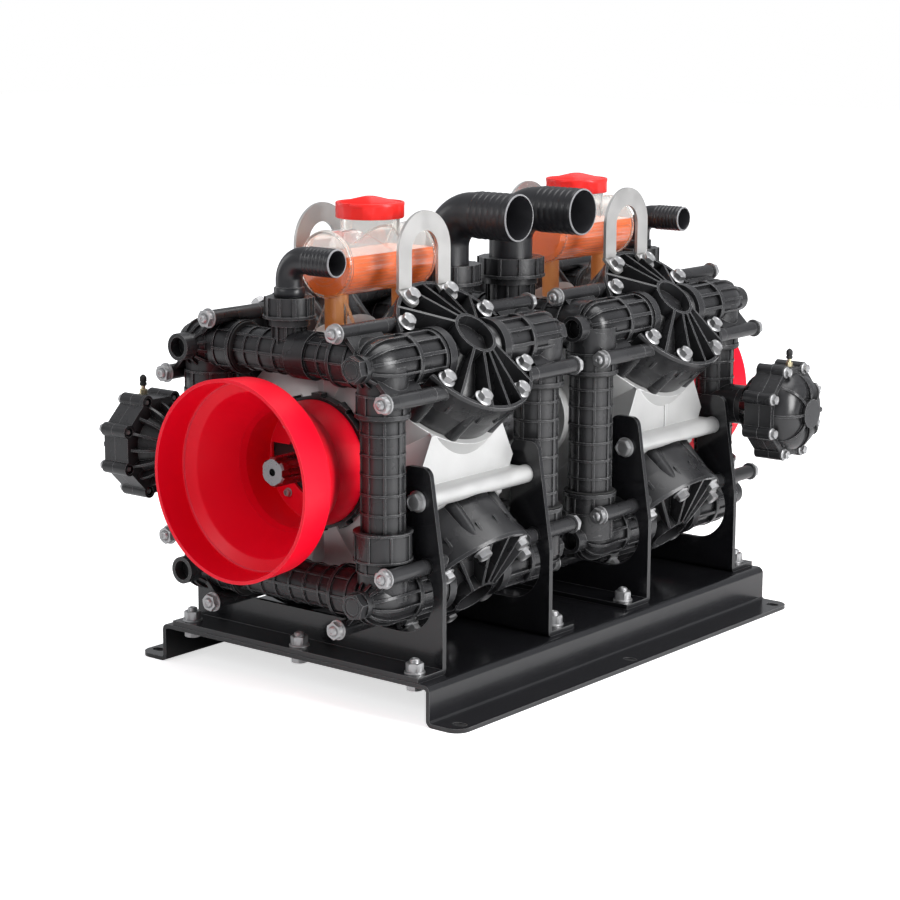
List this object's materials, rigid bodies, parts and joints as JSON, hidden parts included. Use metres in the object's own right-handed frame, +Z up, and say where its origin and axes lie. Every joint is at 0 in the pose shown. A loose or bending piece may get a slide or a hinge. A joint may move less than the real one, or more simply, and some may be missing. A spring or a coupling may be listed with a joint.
{
  "type": "twin piston diaphragm pump set",
  "caption": "Tandem piston diaphragm pump set: star pumps with plastic heads and ring manifolds on a folded base plate, splined shaft with red shields, oil tanks and accumulators.",
  "frame": {"origin": "middle of the base plate's length and width, on the surface that its flanges stand on", "axes": "+Z up, +Y along the shaft from the front drive end to the rear one, +X to the side that the hose elbows point to"},
  "size_m": [0.568, 0.9044, 0.5723],
  "materials": {
    "black_plastic": "satin glass-filled nylon",
    "hose_plastic": "smooth satin nylon",
    "cast_aluminium": "fine cast, satin",
    "black_powder_coat": "semi-gloss powder coat",
    "zinc_steel": "bright zinc plate",
    "stainless": "rolled, satin",
    "shaft_steel": "turned, lightly oiled",
    "bearing_steel": "ground",
    "bronze": "turned bronze",
    "red_plastic": "moulded, semi-gloss",
    "red_cap": "moulded, semi-gloss",
    "clear_plastic": "clear moulded plastic",
    "seal_rubber": "smooth rubber",
    "valve_metal": "turned brass"
  },
  "bodies": {
    "pump_set": {"accumulator_bladders": "seal_rubber", "accumulator_bodies": "black_plastic", "accumulator_bolts": "zinc_steel", "accumulator_covers": "black_plastic", "air_valves": "valve_metal", "base_bolts_and_nuts": "zinc_steel", "base_plate": "black_powder_coat", "bracket_ear_bolts": "zinc_steel", "cylinder_sleeves": "cast_aluminium", "diaphragms": "seal_rubber", "front_crankcase": "cast_aluminium", "front_delivery_elbows": "black_plastic", "front_delivery_pipes": "black_plastic", "front_lower_left_head": "black_plastic", "front_lower_right_head": "black_plastic", "front_oil_tank": "clear_plastic", "front_pump_brackets": "black_powder_coat", "front_shield": "red_plastic", "front_suction_elbows": "black_plastic", "front_suction_pipes": "black_plastic", "front_upper_left_head": "black_plastic", "front_upper_right_head": "black_plastic", "head_bolts": "zinc_steel", "inner_bearing_covers": "cast_aluminium", "lifting_eyes": "stainless", "main_bearings": "bearing_steel", "manifold_plugs": "black_plastic", "outer_bearing_covers": "black_plastic", "rear_crankcase": "cast_aluminium", "rear_delivery_elbows": "black_plastic", "rear_delivery_pipes": "black_plastic", "rear_lower_left_head": "black_plastic", "rear_lower_right_head": "black_plastic", "rear_oil_tank": "clear_plastic", "rear_pump_brackets": "black_powder_coat", "rear_shield": "red_plastic", "rear_suction_elbows": "black_plastic", "rear_suction_pipes": "black_plastic", "rear_upper_left_head": "black_plastic", "rear_upper_right_head": "black_plastic", "ring_nuts": "black_plastic", "shaft_seals": "seal_rubber", "tie_rod_nuts": "zinc_steel", "tie_rods": "zinc_steel", "valve_cartridges": "black_plastic"},
    "crankshaft": {"front_crankshaft": "shaft_steel", "rear_crankshaft": "shaft_steel", "shaft_coupling": "shaft_steel", "eccentric_bearings": "bronze"},
    "front_piston_pair_a": {"front_piston_pair_a": "cast_aluminium"},
    "front_piston_pair_b": {"front_piston_pair_b": "cast_aluminium"},
    "rear_piston_pair_a": {"rear_piston_pair_a": "cast_aluminium"},
    "rear_piston_pair_b": {"rear_piston_pair_b": "cast_aluminium"},
    "front_filler_cap": {"front_filler_cap": "red_cap"},
    "rear_filler_cap": {"rear_filler_cap": "red_cap"},
    "front_delivery_hose_elbow": {"front_delivery_hose_elbow": "hose_plastic"},
    "front_suction_hose_elbow": {"front_suction_hose_elbow": "hose_plastic"},
    "rear_delivery_hose_elbow": {"rear_delivery_hose_elbow": "hose_plastic"},
    "rear_suction_hose_elbow": {"rear_suction_hose_elbow": "hose_plastic"}
  },
  "joints": [
    {"name": "crankshaft_turn", "type": "hinge", "parent": "pump_set", "child": "crankshaft", "pos_m": [0, 0, 0.2673], "axis": [0, 1, 0], "continuous": true},
    {"name": "front_pistons_a_slide", "type": "slide", "parent": "pump_set", "child": "front_piston_pair_a", "axis": [0.7071, 0, 0.7071], "range_m": [-0.016, 0]},
    {"name": "front_pistons_b_slide", "type": "slide", "parent": "pump_set", "child": "front_piston_pair_b", "axis": [0.7071, 0, -0.7071], "range_m": [-0.008, 0.008]},
    {"name": "rear_pistons_a_slide", "type": "slide", "parent": "pump_set", "child": "rear_piston_pair_a", "axis": [-0.7071, 0, 0.7071], "range_m": [-0.016, 0]},
    {"name": "rear_pistons_b_slide", "type": "slide", "parent": "pump_set", "child": "rear_piston_pair_b", "axis": [-0.7071, 0, -0.7071], "range_m": [-0.008, 0.008]},
    {"name": "front_cap_lift", "type": "slide", "parent": "pump_set", "child": "front_filler_cap", "axis": [0, 0, 1], "range_m": [0, 0.025]},
    {"name": "rear_cap_lift", "type": "slide", "parent": "pump_set", "child": "rear_filler_cap", "axis": [0, 0, 1], "range_m": [0, 0.025]},
    {"name": "front_delivery_elbow_swivel", "type": "hinge", "parent": "pump_set", "child": "front_delivery_hose_elbow", "pos_m": [-0.006, -0.3425, 0.46], "axis": [0, 0, 1], "range_deg": [-12, 12]},
    {"name": "front_suction_elbow_swivel", "type": "hinge", "parent": "pump_set", "child": "front_suction_hose_elbow", "pos_m": [-0.006, -0.057, 0.46], "axis": [0, 0, 1], "range_deg": [-12, 12]},
    {"name": "rear_suction_elbow_swivel", "type": "hinge", "parent": "pump_set", "child": "rear_suction_hose_elbow", "pos_m": [0.006, 0.057, 0.46], "axis": [0, 0, 1], "range_deg": [-12, 12]},
    {"name": "rear_delivery_elbow_swivel", "type": "hinge", "parent": "pump_set", "child": "rear_delivery_hose_elbow", "pos_m": [0.006, 0.3425, 0.46], "axis": [0, 0, 1], "range_deg": [-12, 12]}
  ]
}
